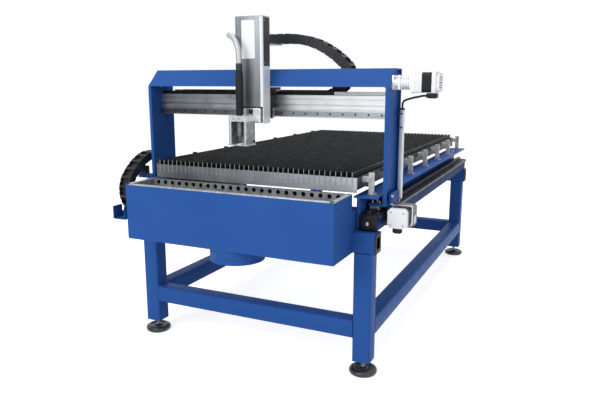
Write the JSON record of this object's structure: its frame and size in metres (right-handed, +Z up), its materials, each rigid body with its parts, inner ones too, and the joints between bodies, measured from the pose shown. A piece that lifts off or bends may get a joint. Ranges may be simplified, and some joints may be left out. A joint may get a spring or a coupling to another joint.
{
  "type": "cnc plasma table",
  "caption": "Floor-standing plasma cutting table with a slat bed, a front extraction trough, a travelling gantry and a motorised torch lift fed by cable chains.",
  "frame": {"origin": "centre of the machine's box on the floor, under the bed", "axes": "+Z up, +Y from the front trough to the rear along the bed, +X to the right seen from the front"},
  "size_m": [1.536, 2.356, 1.54],
  "materials": {
    "blue_paint": "semi-gloss powder coat",
    "galvanised": "matt zinc",
    "machined_steel": "ground",
    "dark_steel": "scorched mill finish",
    "bright_aluminium": "satin",
    "motor_paint": "satin",
    "black_plastic": "matt",
    "cable_sheath": "matt",
    "lead_sleeve": "woven metal sleeve"
  },
  "bodies": {
    "table": {"legs": "blue_paint", "cross_stretchers": "blue_paint", "side_stretchers": "blue_paint", "leg_heads": "blue_paint", "rear_cross_beam": "blue_paint", "beam_end_caps": "black_plastic", "side_beams": "blue_paint", "side_beam_plugs": "black_plastic", "rail_covers": "blue_paint", "guide_rails": "machined_steel", "gear_racks": "machined_steel", "foot_spindles": "machined_steel", "extraction_trough": "blue_paint", "trough_baffle": "galvanised", "duct_collar": "blue_paint", "bed_end_plates": "galvanised", "bed_side_plates": "dark_steel", "bed_cross_supports": "dark_steel", "bed_slats": "dark_steel", "bed_brackets": "galvanised", "long_chain_tray": "blue_paint", "long_chain_lower": "black_plastic"},
    "gantry": {"gantry_plates": "blue_paint", "gantry_feet": "blue_paint", "bearing_blocks": "machined_steel", "beam_hood": "blue_paint", "cross_extrusion": "bright_aluminium", "cross_guide_rails": "machined_steel", "screw_bearings": "machined_steel", "cross_gearbox": "bright_aluminium", "cross_motor": "motor_paint", "drive_plates": "blue_paint", "drive_gearboxes": "bright_aluminium", "drive_motors": "motor_paint", "motor_plugs": "black_plastic", "cable_conduit": "galvanised", "motor_cable": "cable_sheath", "cross_chain_tray": "black_plastic", "cross_chain_lower": "black_plastic", "long_chain_upper": "black_plastic"},
    "carriage": {"torch_carriage": "bright_aluminium", "carriage_blocks": "machined_steel", "lift_housing": "galvanised", "chain_arm": "machined_steel", "lift_motor": "machined_steel", "cross_chain_upper": "black_plastic"},
    "torch_lift": {"lift_carrier": "bright_aluminium", "torch_guard": "galvanised", "torch": "black_plastic", "torch_lead": "lead_sleeve"},
    "long_bend": {"long_chain_bend": "black_plastic"},
    "cross_bend": {"cross_chain_bend": "black_plastic"},
    "pinion_left": {"drive_pinion_left": "machined_steel"},
    "pinion_right": {"drive_pinion_right": "machined_steel"},
    "cross_screw_body": {"cross_screw": "machined_steel"},
    "lift_screw_body": {"lift_screw": "machined_steel"},
    "pad_front_left": {"foot_pad_front_left": "black_plastic"},
    "pad_front_right": {"foot_pad_front_right": "black_plastic"},
    "pad_rear_left": {"foot_pad_rear_left": "black_plastic"},
    "pad_rear_right": {"foot_pad_rear_right": "black_plastic"}
  },
  "joints": [
    {"name": "gantry_travel", "type": "slide", "parent": "table", "child": "gantry", "axis": [0, 1, 0], "range_m": [-0.02, 1.8], "deforming": ["long_chain_lower", "long_chain_upper"]},
    {"name": "carriage_travel", "type": "slide", "parent": "gantry", "child": "carriage", "axis": [1, 0, 0], "range_m": [-0.47, 0.5], "deforming": ["cross_chain_lower", "cross_chain_upper"]},
    {"name": "torch_height", "type": "slide", "parent": "carriage", "child": "torch_lift", "axis": [0, 0, 1], "range_m": [-0.06, 0.005], "deforming": ["torch_lead"]},
    {"name": "long_bend_travel", "type": "slide", "parent": "table", "child": "long_bend", "axis": [0, 1, 0], "range_m": [-0.01, 0.9]},
    {"name": "cross_bend_travel", "type": "slide", "parent": "gantry", "child": "cross_bend", "axis": [1, 0, 0], "range_m": [-0.235, 0.25]},
    {"name": "pinion_left_turn", "type": "hinge", "parent": "gantry", "child": "pinion_left", "pos_m": [-0.6595, -0.752, 0.673], "axis": [1, 0, 0], "continuous": true},
    {"name": "pinion_right_turn", "type": "hinge", "parent": "gantry", "child": "pinion_right", "pos_m": [0.5655, -0.752, 0.673], "axis": [1, 0, 0], "continuous": true},
    {"name": "cross_screw_turn", "type": "hinge", "parent": "gantry", "child": "cross_screw_body", "pos_m": [-0.047, -0.792, 1.258], "axis": [1, 0, 0], "continuous": true},
    {"name": "lift_screw_turn", "type": "hinge", "parent": "carriage", "child": "lift_screw_body", "pos_m": [-0.027, -0.889, 1.25], "axis": [0, 0, 1], "continuous": true},
    {"name": "pad_front_left_swivel", "type": "hinge", "parent": "table", "child": "pad_front_left", "pos_m": [-0.606, -0.934, 0.013], "axis": [0, 0, 1], "continuous": true},
    {"name": "pad_front_right_swivel", "type": "hinge", "parent": "table", "child": "pad_front_right", "pos_m": [0.512, -0.934, 0.013], "axis": [0, 0, 1], "continuous": true},
    {"name": "pad_rear_left_swivel", "type": "hinge", "parent": "table", "child": "pad_rear_left", "pos_m": [-0.606, 1.116, 0.013], "axis": [0, 0, 1], "continuous": true},
    {"name": "pad_rear_right_swivel", "type": "hinge", "parent": "table", "child": "pad_rear_right", "pos_m": [0.512, 1.116, 0.013], "axis": [0, 0, 1], "continuous": true}
  ],
  "couplings": [
    {"joint": "long_bend_travel", "follows": "gantry_travel", "ratio": 0.5},
    {"joint": "cross_bend_travel", "follows": "carriage_travel", "ratio": 0.5},
    {"joint": "pinion_left_turn", "follows": "gantry_travel", "rad_per_m": 45.455},
    {"joint": "pinion_right_turn", "follows": "gantry_travel", "rad_per_m": 45.455},
    {"joint": "cross_screw_turn", "follows": "carriage_travel", "rad_per_m": 314.16},
    {"joint": "lift_screw_turn", "follows": "torch_height", "rad_per_m": 628.32}
  ]
}
